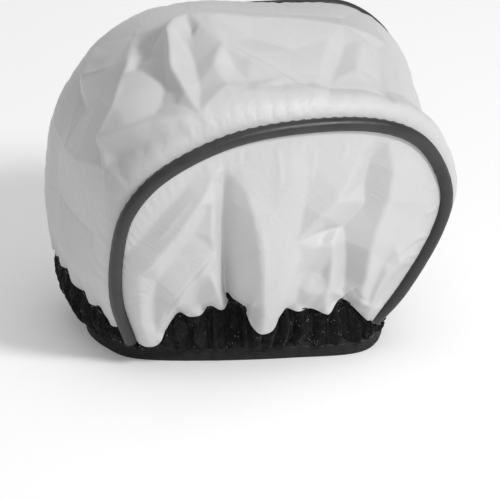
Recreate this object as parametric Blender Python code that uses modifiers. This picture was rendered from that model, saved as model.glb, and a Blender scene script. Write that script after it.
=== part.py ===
"""Soft cloth bounce diffuser for an upright camera flash head.

A white nylon bonnet: a front and a rear panel, each edged with vinyl piping, a crown strip
sewn between the two piped seams, and a black gathered collar with an elastic band that
grips the flash head. Units are metres, +Z is up and the front panel faces -Y. The band's
flat lower edge lies on z = 0.
"""

import math

import bmesh
import bpy
from mathutils import Vector

# Driving dimensions
CLOTH = 0.0006              # thickness of the nylon, with its coating and seam build-up
PIPING_RADIUS = 0.0019      # outer radius of the vinyl sleeve
PIPING_WALL = 0.0006        # wall of the vinyl sleeve
CORD_RADIUS = 0.0009        # filler cord inside the sleeve
SEAM_GAP = 0.0004           # clearance between the sleeve and the cloth sewn to it
BINDING_WIDTH = 0.0046      # tape that binds the raw edges inside each seam
BINDING_THICKNESS = 0.0008
THREAD_RADIUS = 0.0003
BAND_HEIGHT = 0.0052        # woven elastic
BAND_THICKNESS = 0.0014
KNIT_THICKNESS = 0.001      # gathered knit strip above the elastic
THREAD_GAP = 0.0008         # clearance between a stitch line and the strip it lies on
EDGE_GAP = 0.0004           # clearance where one strip meets the next edge to edge
LIP_HEIGHT = 0.0022         # the crown strip rolls this far over the piping at each seam
FRONT_LEAN = math.radians(11)
REAR_LEAN = math.radians(10)
FRONT_SWELL = 0.0035        # how far each panel bellies out of its hoop
REAR_SWELL = 0.0045
CENTRE = Vector((0.00338, -0.00048, 0.0))    # middle of the outline, set on the origin
FOLD_AXIS = Vector((0.0, -0.0024, -0.0930))    # where the planes of the two hoops meet

# Mesh density
ALONG = 40
TUBE_SIDES = 8
COLLAR_STEPS = 56

# Centre lines, each from the left foot over the top to the right foot
FRONT_HOOP = (
    (-0.0343, -0.0198, 0.0080), (-0.0394, -0.0275, 0.0255), (-0.0400, -0.0338, 0.0435),
    (-0.0370, -0.0380, 0.0580), (-0.0270, -0.0400, 0.0695), (-0.0080, -0.0385, 0.0768),
    (0.0140, -0.0360, 0.0778), (0.0345, -0.0320, 0.0740), (0.0480, -0.0285, 0.0655),
    (0.0553, -0.0262, 0.0505), (0.0533, -0.0255, 0.0370), (0.0440, -0.0245, 0.0190),
    (0.0360, -0.0230, 0.0085),
)
REAR_HOOP = (
    (-0.0465, 0.0235, 0.0195), (-0.0480, 0.0280, 0.0310), (-0.0473, 0.0322, 0.0460),
    (-0.0412, 0.0352, 0.0626), (-0.0282, 0.0378, 0.0750), (-0.0060, 0.0390, 0.0816),
    (0.0180, 0.0385, 0.0822), (0.0412, 0.0372, 0.0804), (0.0545, 0.0342, 0.0674),
    (0.0550, 0.0310, 0.0480), (0.0520, 0.0275, 0.0310), (0.0450, 0.0235, 0.0180),
)
# Lower edge of each panel between its feet
FRONT_HEM = (
    (-0.0312, -0.0212, 0.0090), (-0.0215, -0.0255, 0.0155), (0.0010, -0.0283, 0.0180),
    (0.0230, -0.0272, 0.0160), (0.0328, -0.0242, 0.0092),
)
REAR_HEM = (
    (-0.0430, 0.0250, 0.0197), (-0.0260, 0.0300, 0.0185), (0.0000, 0.0320, 0.0175),
    (0.0250, 0.0300, 0.0180), (0.0415, 0.0250, 0.0182),
)
# How far the crown strip bellies out between the hoops, from the left foot to the right one
CROWN_SWELL = (0.0068, 0.0056, 0.0066, 0.0142, 0.0124, 0.0070, 0.0006, 0.0014, 0.0018)
# Outline of the elastic band, from its front left corner, counter-clockwise from above
BAND_OUTLINE = (
    (-0.0315, -0.0160, 0.0), (-0.0120, -0.0212, 0.0), (0.0120, -0.0245, 0.0),
    (0.0320, -0.0250, 0.0), (0.0405, -0.0130, 0.0), (0.0435, 0.0040, 0.0),
    (0.0380, 0.0200, 0.0), (0.0220, 0.0285, 0.0), (0.0000, 0.0305, 0.0),
    (-0.0220, 0.0285, 0.0), (-0.0380, 0.0200, 0.0), (-0.0425, 0.0040, 0.0),
    (-0.0390, -0.0080, 0.0),
)


def clear_scene():
    for obj in list(bpy.data.objects):
        bpy.data.objects.remove(obj, do_unlink=True)


def catmull(a, b, c, d, t):
    """Point between b and c on the smooth curve through a, b, c and d."""
    return 0.5 * (2 * b + (c - a) * t + (2 * a - 5 * b + 4 * c - d) * t ** 2
                  + (3 * b - a - 3 * c + d) * t ** 3)


def even_path(points, closed=False, steps=12):
    """Smooth curve through points, as a function of the share of its length from 0 to 1."""
    points = [Vector(p) for p in points]
    count = len(points)
    if closed:
        ring = [points[-1], *points, points[0], points[1]]
        spans = count
    else:
        ring = [2 * points[0] - points[1], *points, 2 * points[-1] - points[-2]]
        spans = count - 1
    dense = [catmull(*ring[i:i + 4], k / steps) for i in range(spans) for k in range(steps)]
    dense.append(ring[spans + 1].copy())
    lengths = [0.0]
    for a, b in zip(dense, dense[1:]):
        lengths.append(lengths[-1] + (b - a).length)

    def at(share):
        target = (share % 1.0 if closed else min(max(share, 0.0), 1.0)) * lengths[-1]
        index = 0
        while index < len(dense) - 2 and lengths[index + 1] < target:
            index += 1
        step = lengths[index + 1] - lengths[index]
        return dense[index].lerp(dense[index + 1], (target - lengths[index]) / step)

    return at


def value_path(values):
    """Smooth number along a list of values, as a function of a share from 0 to 1."""
    path = even_path([(i / (len(values) - 1), 0.0, v) for i, v in enumerate(values)])
    return lambda share: path(share).z


class Hoop:
    """A piped seam: its centre line, with outward and rearward directions at each point."""

    def __init__(self, points, normal, facing):
        self.path = even_path(points)
        self.normal = normal
        self.facing = facing        # -1 for the front hoop, +1 for the rear one

    def at(self, share, outward=0.0, outside=0.0):
        """A point that far outward from the seam, and that far out of the bag's depth."""
        delta = 0.004
        low, high = max(share - delta, 0.0), min(share + delta, 1.0)
        tangent = (self.path(high) - self.path(low)).normalized()
        out = tangent.cross(self.normal).normalized()
        rear = out.cross(tangent)
        return self.path(share) + out * outward + rear * (self.facing * outside)

    def out(self, share):
        return (self.at(share, 0.001) - self.at(share)).normalized()


def material(name, colour, roughness):
    mat = bpy.data.materials.new(name)
    mat.use_nodes = True
    shader = mat.node_tree.nodes["Principled BSDF"]
    shader.inputs["Base Color"].default_value = (*colour, 1.0)
    shader.inputs["Roughness"].default_value = roughness
    shader.inputs["Metallic"].default_value = 0.0
    return mat


def finish(obj, collection, parent, mat):
    """File the object, move it under its parent empty and shade it smooth."""
    collection.objects.link(obj)
    obj.parent = parent
    obj.location = -(parent.location if parent.parent else Vector())
    obj.data.materials.append(mat)
    if obj.type == "MESH":
        obj.data.shade_smooth()
        obj.data.set_sharp_from_angle(angle=math.radians(50))
    return obj


def sheet(name, columns, rows, place, thickness, offset=0.0, closed=False):
    """A grid bent to place(u, v), with u and v from 0 to 1, and given its thickness."""
    bm = bmesh.new()
    bmesh.ops.create_grid(bm, x_segments=columns, y_segments=rows, size=0.5)
    for vert in bm.verts:
        vert.co = place(vert.co.x + 0.5, vert.co.y + 0.5)
    if closed:
        bmesh.ops.remove_doubles(bm, verts=bm.verts, dist=1e-6)
    mesh = bpy.data.meshes.new(name)
    bm.to_mesh(mesh)
    bm.free()
    obj = bpy.data.objects.new(name, mesh)
    shell = obj.modifiers.new("thickness", "SOLIDIFY")
    shell.thickness = thickness
    shell.offset = offset
    return obj


def round_cord(name, points, radius, closed=False):
    """A solid cord of that radius along the points."""
    curve = bpy.data.curves.new(name, "CURVE")
    curve.dimensions = "3D"
    curve.bevel_depth = radius
    curve.bevel_resolution = 1
    curve.use_fill_caps = not closed
    spline = curve.splines.new("POLY")
    spline.points.add(len(points) - 1)
    for point, place in zip(spline.points, points):
        point.co = (*place, 1.0)
    spline.use_cyclic_u = closed
    return bpy.data.objects.new(name, curve)


def piping_sleeve(name, hoop):
    """Vinyl tube over the filler cord, open at both feet."""
    middle = PIPING_RADIUS - PIPING_WALL / 2

    def place(u, v):
        angle = 2 * math.pi * u
        return hoop.at(v, middle * math.cos(angle), middle * math.sin(angle))

    return sheet(name, TUBE_SIDES, ALONG, place, PIPING_WALL, closed=True)


def piping_cord(name, hoop):
    points = [hoop.at(i / ALONG) for i in range(ALONG + 1)]
    return round_cord(name, points, CORD_RADIUS)


def seam_binding(name, hoop):
    """Flat tape on the raw edges, inside the bag and just behind the piping."""
    inner = -(PIPING_RADIUS + SEAM_GAP)
    depth = -0.0026
    foot = 0.035            # share of the seam left bare above each foot

    def place(u, v):
        share = foot + (1 - 2 * foot) * u
        return hoop.at(share, inner - BINDING_WIDTH * v, depth)

    return sheet(name, ALONG, 1, place, BINDING_THICKNESS)


def seam_thread(name, hoop):
    """Stitch line between the panel and the binding."""
    start, stop = 0.03, 0.97
    shares = [start + (stop - start) * i / ALONG for i in range(ALONG + 1)]
    points = [hoop.at(s, -(PIPING_RADIUS + 2 * SEAM_GAP), -0.0013) for s in shares]
    return round_cord(name, points, THREAD_RADIUS)


def panel_place(hoop, hem, swell):
    """Surface of a D-shaped panel, from its gathered hem up to the piping."""
    edge = -(PIPING_RADIUS + SEAM_GAP)

    def place(u, v):
        top = hoop.at(0.006 + 0.988 * u, edge)
        point = hem(u).lerp(top, v)
        belly = swell * math.sin(math.pi * v ** 0.8) * math.sin(math.pi * u) ** 0.5
        point.y += hoop.facing * belly
        return point

    return place


def crown_place(front, rear):
    """Surface of the crown strip, across the bag from the front seam to the rear seam."""
    swell = value_path(CROWN_SWELL)
    start = PIPING_RADIUS + SEAM_GAP
    lip_end = 0.22          # share of the depth that each rolled lip takes

    def place(u, v):
        low = front.at(u, 0.0002, -start)
        high = rear.at(u, 0.0002, -start)
        depth = v * v * (3 - 2 * v)
        out = front.out(u).lerp(rear.out(u), depth).normalized()
        roll = min(min(depth, 1 - depth) / lip_end, 1.0)
        lip = LIP_HEIGHT * math.sin(math.pi * roll)
        return low.lerp(high, depth) + out * (swell(u) * math.sin(math.pi * depth) ** 0.8 + lip)

    return place


def hem_loop(front_panel, crown, rear_panel):
    """Lower edge of all the white cloth, counter-clockwise from the front left foot."""
    steps = 8
    loop = [front_panel(i / steps, 0.0) for i in range(steps + 1)]
    loop += [crown(1.0, i / steps) for i in range(steps + 1)]
    loop += [rear_panel(1 - i / steps, 0.0) for i in range(steps + 1)]
    loop += [crown(0.0, 1 - i / steps) for i in range(steps + 1)]
    return even_path(loop, closed=True, steps=2)


def across_from(point, ring, steps=400):
    """The point of a closed path that lies in the same direction from the mouth's centre."""
    bearing = Vector((point.x, point.y)).normalized()
    return max((ring(i / steps) for i in range(steps)),
               key=lambda p: Vector((p.x, p.y)).normalized().dot(bearing))


def knit_place(hem, band):
    """Collar strip, from the elastic band up to the cloth's hem."""
    def place(u, v):
        low = across_from(hem(u), band)
        low.z = BAND_HEIGHT + KNIT_THICKNESS / 2 + EDGE_GAP
        high = hem(u) - Vector((0, 0, KNIT_THICKNESS / 2 + CLOTH / 2 + EDGE_GAP))
        side = low.lerp(high, math.sin(math.pi / 2 * v))
        return Vector((side.x, side.y, low.lerp(high, v).z))

    return place


def ring_thread(name, place, level, thickness, lowest=0.0):
    """Closed stitch line on the outside of a strip, at that share of the strip's height."""
    proud = thickness / 2 + THREAD_RADIUS + THREAD_GAP
    points = []
    for i in range(COLLAR_STEPS):
        share = i / COLLAR_STEPS
        along = place(share + 0.01, level) - place(share - 0.01, level)
        up = place(share, level + 0.1) - place(share, level - 0.1)
        out = along.cross(up).normalized()
        point = place(share, level) + out * proud
        point.z = max(point.z, lowest)
        points.append(point)
    return round_cord(name, points, THREAD_RADIUS, closed=True)


def build():
    clear_scene()
    collection = bpy.data.collections.new("flash_bounce_diffuser")
    bpy.context.scene.collection.children.link(collection)

    white = material("white_nylon", (0.80, 0.80, 0.79), 0.55)
    vinyl = material("black_vinyl", (0.02, 0.02, 0.02), 0.35)
    filler = material("filler_cord", (0.75, 0.74, 0.70), 0.9)
    tape = material("binding_tape", (0.72, 0.72, 0.71), 0.8)
    thread = material("sewing_thread", (0.03, 0.03, 0.03), 0.7)
    knit = material("black_knit", (0.015, 0.015, 0.015), 0.85)
    elastic = material("black_elastic", (0.02, 0.02, 0.02), 0.75)

    base = bpy.data.objects.new("rear_frame_origin", None)
    base.location = -CENTRE
    collection.objects.link(base)
    fold = bpy.data.objects.new("fold_axis", None)
    fold.parent = base
    fold.location = FOLD_AXIS
    collection.objects.link(fold)

    front = Hoop(FRONT_HOOP, Vector((0, math.cos(FRONT_LEAN), math.sin(FRONT_LEAN))), -1)
    rear = Hoop(REAR_HOOP, Vector((0, math.cos(REAR_LEAN), -math.sin(REAR_LEAN))), 1)
    front_panel = panel_place(front, even_path(FRONT_HEM), FRONT_SWELL)
    rear_panel = panel_place(rear, even_path(REAR_HEM), REAR_SWELL)
    crown = crown_place(front, rear)
    hem = hem_loop(front_panel, crown, rear_panel)
    band = even_path(BAND_OUTLINE, closed=True)
    knit_surface = knit_place(hem, band)

    def band_surface(u, v):
        return band(u) + Vector((0, 0, BAND_HEIGHT * v))

    for side, hoop, panel, empty in (("front", front, front_panel, fold),
                                     ("rear", rear, rear_panel, base)):
        finish(sheet(f"{side}_panel", 20, 8, panel, CLOTH), collection, empty, white)
        finish(piping_sleeve(f"{side}_piping_sleeve", hoop), collection, empty, vinyl)
        finish(piping_cord(f"{side}_piping_cord", hoop), collection, empty, filler)
        finish(seam_binding(f"{side}_seam_binding", hoop), collection, empty, tape)
        finish(seam_thread(f"{side}_seam_thread", hoop), collection, empty, thread)

    finish(sheet("crown_strip", 32, 12, crown, CLOTH), collection, base, white)
    finish(sheet("collar_knit", COLLAR_STEPS, 3, knit_surface, KNIT_THICKNESS, closed=True),
           collection, base, knit)
    finish(sheet("elastic_band", COLLAR_STEPS, 1, band_surface, BAND_THICKNESS, closed=True),
           collection, base, elastic)
    above_band = BAND_HEIGHT + THREAD_RADIUS + EDGE_GAP
    finish(ring_thread("hem_thread", knit_surface, 0.8, KNIT_THICKNESS, above_band),
           collection, base, thread)
    finish(ring_thread("band_thread", band_surface, 0.8, BAND_THICKNESS),
           collection, base, thread)


build()
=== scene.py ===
import math

import bpy
import numpy as np
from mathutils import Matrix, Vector
from mathutils.geometry import delaunay_2d_cdt


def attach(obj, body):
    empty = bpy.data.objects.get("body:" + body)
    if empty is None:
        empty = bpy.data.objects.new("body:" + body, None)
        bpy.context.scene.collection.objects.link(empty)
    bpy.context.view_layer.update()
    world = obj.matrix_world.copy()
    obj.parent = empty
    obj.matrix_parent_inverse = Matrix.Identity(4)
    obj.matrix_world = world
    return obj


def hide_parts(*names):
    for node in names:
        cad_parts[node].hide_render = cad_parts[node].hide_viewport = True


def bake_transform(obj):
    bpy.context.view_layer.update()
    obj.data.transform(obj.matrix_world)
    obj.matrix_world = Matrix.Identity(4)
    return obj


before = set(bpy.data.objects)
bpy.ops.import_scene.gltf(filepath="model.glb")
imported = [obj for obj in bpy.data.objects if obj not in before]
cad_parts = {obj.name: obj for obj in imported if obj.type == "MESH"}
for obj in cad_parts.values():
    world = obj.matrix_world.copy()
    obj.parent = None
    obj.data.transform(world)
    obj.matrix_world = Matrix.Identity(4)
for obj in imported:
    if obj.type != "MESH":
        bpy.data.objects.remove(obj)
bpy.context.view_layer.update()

MM = 0.001
CENTRE = np.array([0.00338, -0.00048, 0.0])     # middle of the outline, which the CAD moves to 0
PIPING_RADIUS = 0.0019
BAND_HEIGHT = 0.0052
BAND_THICKNESS = 0.0014
NYLON_THICKNESS = 0.0004
KNIT_THICKNESS = 0.0005
TAPE_THICKNESS = 0.0006
FRONT_LEAN = math.radians(11)
REAR_LEAN = math.radians(10)

# The seams' centre lines, as in the CAD, each from the left foot over the top to the right foot
FRONT_HOOP = (
    (-0.0343, -0.0198, 0.008), (-0.0394, -0.0275, 0.0255), (-0.04, -0.0338, 0.0435),
    (-0.037, -0.038, 0.058), (-0.027, -0.04, 0.0695), (-0.008, -0.0385, 0.0768),
    (0.014, -0.036, 0.0778), (0.0345, -0.032, 0.074), (0.048, -0.0285, 0.0655),
    (0.0553, -0.0262, 0.0505), (0.0533, -0.0255, 0.037), (0.044, -0.0245, 0.019),
    (0.036, -0.023, 0.0085),
)
REAR_HOOP = (
    (-0.0465, 0.0235, 0.0195), (-0.048, 0.028, 0.031), (-0.0473, 0.0322, 0.046),
    (-0.0412, 0.0352, 0.0626), (-0.0282, 0.0378, 0.075), (-0.006, 0.039, 0.0816),
    (0.018, 0.0385, 0.0822), (0.0412, 0.0372, 0.0804), (0.0545, 0.0342, 0.0674),
    (0.055, 0.031, 0.048), (0.052, 0.0275, 0.031), (0.045, 0.0235, 0.018),
)
BAND_OUTLINE = (
    (-0.0315, -0.016, 0), (-0.012, -0.0212, 0), (0.012, -0.0245, 0),
    (0.032, -0.025, 0), (0.0405, -0.013, 0), (0.0435, 0.004, 0),
    (0.038, 0.02, 0), (0.022, 0.0285, 0), (0, 0.0305, 0),
    (-0.022, 0.0285, 0), (-0.038, 0.02, 0), (-0.0425, 0.004, 0),
    (-0.039, -0.008, 0),
)
REAR_HEM = (
    (-0.043, 0.025, 0.0197), (-0.026, 0.03, 0.0185), (0, 0.032, 0.0175),
    (0.025, 0.03, 0.018), (0.0415, 0.025, 0.0182),
)
# Along the crown strip, at even steps from its left end to its right: how far its middle swells,
# and the height of the lips that roll up beside the two seams
CROWN_SWELL = (0.0068, 0.0056, 0.0066, 0.0138, 0.0110, 0.0066, 0.0006, 0.0014, 0.0018)
FRONT_LIP = (0.0008, 0.0010, 0.0014, 0.0020, 0.0023, 0.0028, 0.0040, 0.0034, 0.0012)
REAR_LIP = (0.0014, 0.0018, 0.0030, 0.0030, 0.0012, 0.0008, 0.0018, 0.0016, 0.0014)
FRONT_LIP_DEPTH = 0.20      # share of the strip's depth that each rolled lip takes
REAR_LIP_DEPTH = 0.36
PANEL_EDGE = 0.0005 - PIPING_RADIUS     # the panels end this far out from the piping's middle


# ---------- curves and surfaces

def catmull(points, closed=False, steps=16):
    """Smooth curve through points, as a dense array."""
    p = np.array(points, float)
    if closed:
        ring, spans = np.vstack([p[-1:], p, p[:2]]), len(p)
    else:
        ring, spans = np.vstack([2 * p[:1] - p[1:2], p, 2 * p[-1:] - p[-2:-1]]), len(p) - 1
    t = np.arange(steps)[:, None] / steps
    out = []
    for i in range(spans):
        a, b, c, d = ring[i:i + 4]
        out.append(0.5 * (2 * b + (c - a) * t + (2 * a - 5 * b + 4 * c - d) * t ** 2
                          + (3 * b - a - 3 * c + d) * t ** 3))
    out.append(ring[spans + 1][None])
    return np.vstack(out)


class Path:
    """A smooth curve as a function of the share of its length, from 0 to 1."""

    def __init__(self, points, closed=False, steps=16):
        self.dense = catmull(points, closed, steps)
        self.closed = closed
        gaps = np.linalg.norm(np.diff(self.dense, axis=0), axis=1)
        self.lengths = np.concatenate([[0], np.cumsum(gaps)])

    def __call__(self, share):
        share = np.asarray(share, float)
        share = share % 1.0 if self.closed else np.clip(share, 0, 1)
        target = share * self.lengths[-1]
        return np.stack([np.interp(target, self.lengths, self.dense[:, k])
                         for k in range(self.dense.shape[1])], -1)


def along(values, share):
    """Smooth value along an evenly spaced list of values."""
    dense = catmull([(v,) for v in values])[:, 0]
    return np.interp(share, np.linspace(0, 1, len(dense)), dense)


def unit(v):
    """Vectors along the last axis, each scaled to a length of 1."""
    return v / np.maximum(np.linalg.norm(v, axis=-1, keepdims=True), 1e-12)


def smooth_step(t):
    """0 below 0 and 1 above 1, with an easy curve between."""
    t = np.clip(t, 0, 1)
    return t * t * (3 - 2 * t)


class Hoop:
    """A piped seam: its centre line, with outward and outside directions at each point."""

    def __init__(self, points, lean, facing):
        self.path = Path(np.array(points) - CENTRE)
        self.normal = np.array([0, math.cos(lean), -facing * math.sin(lean)])
        self.facing = facing

    def frame(self, share):
        """Point, outward, outside and tangent directions at a share of the hoop's length."""
        low, high = np.maximum(np.asarray(share) - .004, 0), np.minimum(np.asarray(share) + .004, 1)
        tangent = unit(self.path(high) - self.path(low))
        out = unit(np.cross(tangent, self.normal))
        return self.path(share), out, np.cross(out, tangent) * self.facing, tangent

    def at(self, share, outward, outside=0.0):
        """Point at a distance outward of the hoop and outside its plane."""
        point, out, rear, _ = self.frame(share)
        return (point + out * np.asarray(outward, float)[..., None]
                + rear * np.asarray(outside, float)[..., None])


FRONT = Hoop(FRONT_HOOP, FRONT_LEAN, -1)
REAR = Hoop(REAR_HOOP, REAR_LEAN, 1)
BAND = Path(np.array(BAND_OUTLINE) - CENTRE, closed=True)


def gauss(grid, sigma):
    """Blur of a 2-D grid, by sigma cells on each axis."""
    for axis in (0, 1):
        s = sigma[axis] if hasattr(sigma, "__len__") else sigma
        reach = max(1, int(math.ceil(3 * s)))
        kernel = np.exp(-0.5 * (np.arange(-reach, reach + 1) / max(s, 1e-6)) ** 2)
        kernel /= kernel.sum()
        pad = [(reach, reach) if a == axis else (0, 0) for a in (0, 1)]
        wide = np.pad(grid, pad, mode="edge")
        count = grid.shape[axis]
        grid = sum(k * np.take(wide, np.arange(i, i + count), axis=axis)
                   for i, k in enumerate(kernel))
    return grid


def relief(lines, low, high, step, blur):
    """Height field from ridge and valley lines of (x, y, height), all in millimetres.
    Between the lines it is faceted like creased cloth. Returns a function of x and y."""
    points, heights, edges = [], [], []
    for line in lines:
        for i, (x, y, h) in enumerate(line):
            if i:
                edges.append((len(points) - 1, len(points)))
            points.append(Vector((x, y)))
            heights.append(h)
    out, _, faces, origin, _, _ = delaunay_2d_cdt(points, edges, [], 0, 1e-4)
    known = np.array([[p.x, p.y] for p in points])
    xy = np.array([[p.x, p.y] for p in out])
    z = np.zeros(len(out))
    for i, source in enumerate(origin):
        if source:
            z[i] = np.mean([heights[s] for s in source])
        else:                                   # where two lines cross
            gap = np.linalg.norm(known - xy[i], axis=1)
            near = np.argsort(gap)[:4]
            z[i] = np.average(np.array(heights)[near], weights=1 / (gap[near] + 1e-3))
    gx = np.arange(low[0], high[0] + step, step)
    gy = np.arange(low[1], high[1] + step, step)
    field = np.zeros((len(gx), len(gy)))
    for a, b, c in faces:
        (ax, ay), (bx, by), (cx, cy) = xy[a], xy[b], xy[c]
        i0, i1 = np.searchsorted(gx, [min(ax, bx, cx) - 1e-6, max(ax, bx, cx) + 1e-6])
        j0, j1 = np.searchsorted(gy, [min(ay, by, cy) - 1e-6, max(ay, by, cy) + 1e-6])
        if i0 >= i1 or j0 >= j1:
            continue
        x, y = np.meshgrid(gx[i0:i1], gy[j0:j1], indexing="ij")
        area = (bx - ax) * (cy - ay) - (cx - ax) * (by - ay)
        if abs(area) < 1e-9:
            continue
        wb = ((x - ax) * (cy - ay) - (cx - ax) * (y - ay)) / area
        wc = ((bx - ax) * (y - ay) - (x - ax) * (by - ay)) / area
        inside = (wb >= -1e-6) & (wc >= -1e-6) & (wb + wc <= 1 + 1e-6)
        value = z[a] * (1 - wb - wc) + z[b] * wb + z[c] * wc
        field[i0:i1, j0:j1][inside] = value[inside]
    field = gauss(field, blur / step)

    def at(x, y):
        i = np.clip((x - gx[0]) / step, 0, len(gx) - 1.001)
        j = np.clip((y - gy[0]) / step, 0, len(gy) - 1.001)
        i0, j0 = i.astype(int), j.astype(int)
        fi, fj = i - i0, j - j0
        return (field[i0, j0] * (1 - fi) * (1 - fj) + field[i0 + 1, j0] * fi * (1 - fj)
                + field[i0, j0 + 1] * (1 - fi) * fj + field[i0 + 1, j0 + 1] * fi * fj)

    return at


def crease(x, y, line, height, left, right, power, taper):
    """A fold along a line of (x, y) points, in millimetres: its height, how far it reaches to
    the left and right of the line's direction, how round it is, and its strength at the ends."""
    dense = catmull(line, steps=10)
    share = np.linspace(0, 1, len(dense))
    strength = np.minimum(1, np.minimum(taper[0] + 4 * share, taper[1] + 4 * (1 - share)))
    a, b = dense[:-1], dense[1:]
    d = b - a
    px, py = x[..., None] - a[:, 0], y[..., None] - a[:, 1]
    t = np.clip((px * d[:, 0] + py * d[:, 1]) / (d ** 2).sum(1), 0, 1)
    qx, qy = px - t * d[:, 0], py - t * d[:, 1]
    gap = np.hypot(qx, qy)
    near = gap.argmin(-1)[..., None]
    gap = np.take_along_axis(gap, near, -1)[..., 0]
    side = np.take_along_axis(d[:, 0] * qy - d[:, 1] * qx, near, -1)[..., 0]
    mix = np.take_along_axis(t, near, -1)[..., 0]
    power_at = strength[near[..., 0]] * (1 - mix) + strength[near[..., 0] + 1] * mix
    reach = np.where(side > 0, left, right)
    return height * power_at * np.exp(-(gap / reach) ** power)


def ripples(rng, count, low, high):
    """Random smooth wave of one variable from 0 to 1: pleats of uneven width."""
    waves = rng.uniform(low, high, count)
    phases = rng.uniform(0, 2 * math.pi, count)
    weights = rng.uniform(0.5, 1.0, count)

    def at(u):
        total = sum(w * np.sin(2 * math.pi * f * u + p) for w, f, p in zip(weights, waves, phases))
        return total / weights.sum() * 1.8

    return at


# ---------- meshes

def mesh_object(name, verts, faces, mat, weave=None):
    """A smooth-shaded object; weave holds each point's place on the flat cloth, in metres."""
    mesh = bpy.data.meshes.new(name)
    mesh.from_pydata(np.asarray(verts, float).reshape(-1, 3).tolist(), [], faces)
    mesh.update()
    mesh.shade_smooth()
    if weave is not None:
        layer = mesh.attributes.new("weave", "FLOAT_VECTOR", "POINT")
        flat = np.zeros((len(mesh.vertices), 3), np.float32)
        flat[:, :2] = np.asarray(weave, float).reshape(-1, 2)
        layer.data.foreach_set("vector", flat.ravel())
    mesh.materials.append(mat)
    obj = bpy.data.objects.new(name, mesh)
    bpy.context.scene.collection.objects.link(obj)
    return obj


def grid_faces(rows, columns, wrap_rows=False, wrap_columns=False, flip=False):
    """Quads of a grid of rows x columns points, row by row."""
    r = np.arange(rows if wrap_rows else rows - 1)[:, None]
    c = np.arange(columns if wrap_columns else columns - 1)[None]
    r1, c1 = (r + 1) % rows, (c + 1) % columns
    quads = np.stack(np.broadcast_arrays(r * columns + c, r1 * columns + c,
                                         r1 * columns + c1, r * columns + c1), -1)
    quads = quads.reshape(-1, 4)
    return (quads[:, ::-1] if flip else quads).tolist()


def finish_piece(obj, node=None, body=None):
    if body:
        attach(obj, body)
    if node:
        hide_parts(node)


def weave_coordinates(points):
    """Distances in metres along the rows and columns of a grid, for the weave to follow."""
    along = np.linalg.norm(np.diff(points, axis=0), axis=2).mean(1)
    across = np.linalg.norm(np.diff(points, axis=1), axis=2).mean(0)
    u = np.concatenate([[0], np.cumsum(along)])[:, None]
    v = np.concatenate([[0], np.cumsum(across)])[None]
    return np.stack(np.broadcast_arrays(u, v), -1)


def grid_object(name, points, mat, closed=False, flip=False):
    """A sheet through a grid of points; closed joins its last row to its first."""
    faces = grid_faces(*points.shape[:2], wrap_rows=closed, flip=flip)
    return mesh_object(name, points, faces, mat, weave_coordinates(points))


def thicken(obj, thickness):
    """Gives a sheet its thickness, half on each side."""
    shell = obj.modifiers.new("thickness", "SOLIDIFY")
    shell.thickness = thickness
    shell.offset = 0.0
    shell.use_even_offset = False


def tube_points(centre, out, side, radius, sides):
    """Grid of points round a line: radius may vary along it and round it."""
    angle = np.linspace(0, 2 * math.pi, sides, endpoint=False)
    radius = np.broadcast_to(np.asarray(radius, float), (len(centre), sides))
    return (centre[:, None] + out[:, None] * (radius * np.cos(angle))[..., None]
            + side[:, None] * (radius * np.sin(angle))[..., None])


def tube_faces(count, sides, base=0):
    """Faces of a capped tube whose points start at number base."""
    quads = grid_faces(count, sides, wrap_columns=True, flip=True)
    last = (count - 1) * sides
    caps = [list(range(sides)), list(range(last + sides - 1, last - 1, -1))]
    return [[base + i for i in face] for face in quads + caps]


def stitches_object(name, points, ups, length, radius, mat):
    """Short rounded stitches, one centred on each point and lying along the line of points."""
    rings, sides, sag = 7, 8, 0.35
    verts, faces = [], []
    ahead = unit(np.roll(points, -1, 0) - np.roll(points, 1, 0))
    ahead[0], ahead[-1] = ahead[1], ahead[-2]
    s = np.linspace(-1, 1, rings)
    girth = radius * np.sqrt(np.clip(1.02 - s ** 4, 0.03, 1))
    angle = np.linspace(0, 2 * math.pi, sides, endpoint=False)
    for point, along, up in zip(points, ahead, ups):
        across = unit(np.cross(along, up))
        middle = (point + along * (s * length / 2)[:, None]
                  - up * (sag * radius * 2 * np.abs(s) ** 3)[:, None])
        ring = (middle[:, None] + across * (girth[:, None] * np.cos(angle))[..., None]
                + up * (girth[:, None] * np.sin(angle))[..., None])
        base = len(verts)
        verts.extend(ring.reshape(-1, 3))
        faces.extend([[base + i for i in f]
                      for f in grid_faces(rings, sides, wrap_columns=True)])
        faces.append([base + i for i in range(sides - 1, -1, -1)])
        faces.append([base + (rings - 1) * sides + i for i in range(sides)])
    return mesh_object(name, np.array(verts), faces, mat)


# ---------- materials

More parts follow.
